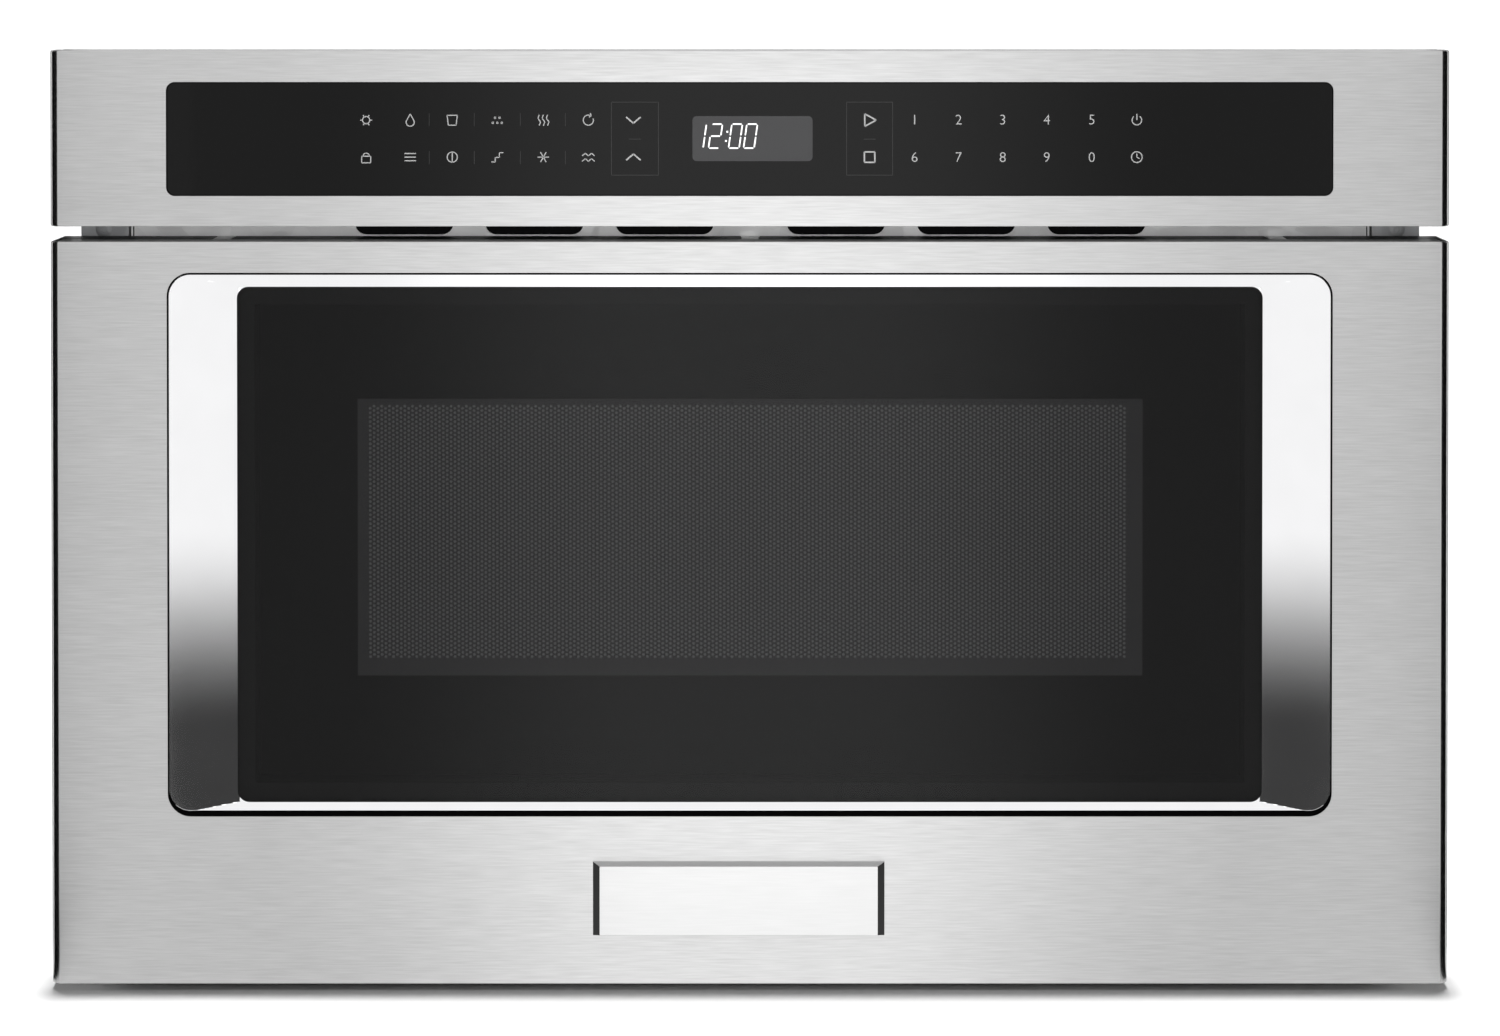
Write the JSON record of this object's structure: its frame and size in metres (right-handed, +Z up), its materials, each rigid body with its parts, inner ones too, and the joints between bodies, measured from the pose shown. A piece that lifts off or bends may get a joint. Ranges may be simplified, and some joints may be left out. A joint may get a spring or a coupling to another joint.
{
  "type": "microwave drawer",
  "caption": "Built-in microwave drawer: powered sliding oven drawer with a framed window under a touch control panel.",
  "frame": {"origin": "middle of the bounding box footprint, at the level of the shelf that the feet stand on", "axes": "+Z up, +X to the right seen from the front, -Y towards the user; the drawer opens along -Y"},
  "size_m": [0.6064, 0.5906, 0.4078],
  "materials": {
    "brushed_steel": "stainless steel, brushed along the width",
    "mirror_steel": "stainless steel, mirror polished",
    "window_glass": "tinted glass with a black printed border",
    "control_glass": "black back-printed glass with a touch surface",
    "display": "grey display filter",
    "black_plastic": "moulded, fine matt grain",
    "grey_plastic": "moulded, matt",
    "white_plastic": "moulded acetal, satin",
    "zinc_steel": "zinc-coated sheet steel, dull",
    "screen_steel": "perforated sheet steel, dark paint",
    "grey_enamel": "light grey oven paint, satin",
    "ceramic": "off-white glass ceramic, smooth",
    "badge_metal": "satin anodised plate with polished bevels, bare",
    "aluminium": "mill finish",
    "circuit_board": "green solder resist with components",
    "mica": "pressed mica sheet",
    "rubber": "moulded, matt",
    "lamp_glass": "clear lamp glass on a plain socket"
  },
  "bodies": {
    "chassis": {"control_fascia": "brushed_steel", "control_glass": "control_glass", "control_carrier": "black_plastic", "display_module": "display", "control_board": "circuit_board", "panel_bracket_left": "zinc_steel", "panel_bracket_right": "zinc_steel", "front_frame_plate": "zinc_steel", "base_pan": "zinc_steel", "outer_wrap": "zinc_steel", "rear_panel": "zinc_steel", "cord_gland": "black_plastic", "mounting_flange_left": "zinc_steel", "mounting_flange_right": "zinc_steel", "foot_front_left": "rubber", "foot_front_right": "rubber", "foot_rear_left": "rubber", "foot_rear_right": "rubber", "oven_cavity": "grey_enamel", "oven_lamp": "lamp_glass", "stirrer_cover": "mica", "waveguide": "aluminium", "magnetron": "zinc_steel", "stirrer_motor": "zinc_steel", "inverter_board": "circuit_board", "noise_filter_board": "circuit_board", "blower_housing": "grey_plastic", "blower_motor": "zinc_steel", "rail_bracket_left": "zinc_steel", "rail_bracket_right": "zinc_steel", "outer_rail_left": "zinc_steel", "outer_rail_right": "zinc_steel", "drive_motor": "zinc_steel", "switch_bracket_left": "white_plastic", "switch_bracket_right": "white_plastic", "primary_switch": "black_plastic", "secondary_switch": "black_plastic"},
    "drawer": {"drawer_skin": "brushed_steel", "window_bezel": "mirror_steel", "window_glass": "window_glass", "door_inner_frame": "black_plastic", "screen_panel": "screen_steel", "door_back_plate": "zinc_steel", "choke_cover": "black_plastic", "drawer_tub": "grey_enamel", "ceramic_shelf": "ceramic", "badge_plate": "badge_metal", "inner_rail_left": "zinc_steel", "inner_rail_right": "zinc_steel", "drive_rack": "white_plastic", "latch_hook_left": "white_plastic", "latch_hook_right": "white_plastic"},
    "mid_rail_left": {"mid_rail_left": "zinc_steel"},
    "mid_rail_right": {"mid_rail_right": "zinc_steel"},
    "pinion": {"drive_pinion": "white_plastic"},
    "impeller": {"blower_impeller": "white_plastic"},
    "stirrer": {"stirrer_blade": "aluminium"},
    "primary_plunger": {"primary_plunger": "white_plastic"},
    "secondary_plunger": {"secondary_plunger": "white_plastic"}
  },
  "joints": [
    {"name": "drawer_slide", "type": "slide", "parent": "chassis", "child": "drawer", "axis": [0, -1, 0], "range_m": [0, 0.381]},
    {"name": "mid_rail_left_slide", "type": "slide", "parent": "chassis", "child": "mid_rail_left", "axis": [0, -1, 0], "range_m": [0, 0.1905]},
    {"name": "mid_rail_right_slide", "type": "slide", "parent": "chassis", "child": "mid_rail_right", "axis": [0, -1, 0], "range_m": [0, 0.1905]},
    {"name": "pinion_spin", "type": "hinge", "parent": "chassis", "child": "pinion", "pos_m": [0, -0.2315, 0.03], "axis": [1, 0, 0], "range_deg": [0, 1365]},
    {"name": "impeller_spin", "type": "hinge", "parent": "chassis", "child": "impeller", "pos_m": [0.1231, 0.2385, 0.21], "axis": [1, 0, 0], "continuous": true},
    {"name": "stirrer_spin", "type": "hinge", "parent": "chassis", "child": "stirrer", "pos_m": [0, -0.04685, 0.3], "axis": [0, 0, 1], "continuous": true},
    {"name": "primary_plunger_slide", "type": "slide", "parent": "chassis", "child": "primary_plunger", "axis": [-1, 0, 0], "range_m": [0, 0.0015], "stiffness_N_per_m": 120},
    {"name": "secondary_plunger_slide", "type": "slide", "parent": "chassis", "child": "secondary_plunger", "axis": [1, 0, 0], "range_m": [0, 0.0015], "stiffness_N_per_m": 120}
  ],
  "couplings": [
    {"joint": "mid_rail_left_slide", "follows": "drawer_slide", "ratio": 0.5},
    {"joint": "mid_rail_right_slide", "follows": "drawer_slide", "ratio": 0.5},
    {"joint": "pinion_spin", "follows": "drawer_slide", "rad_per_m": 62.5}
  ]
}
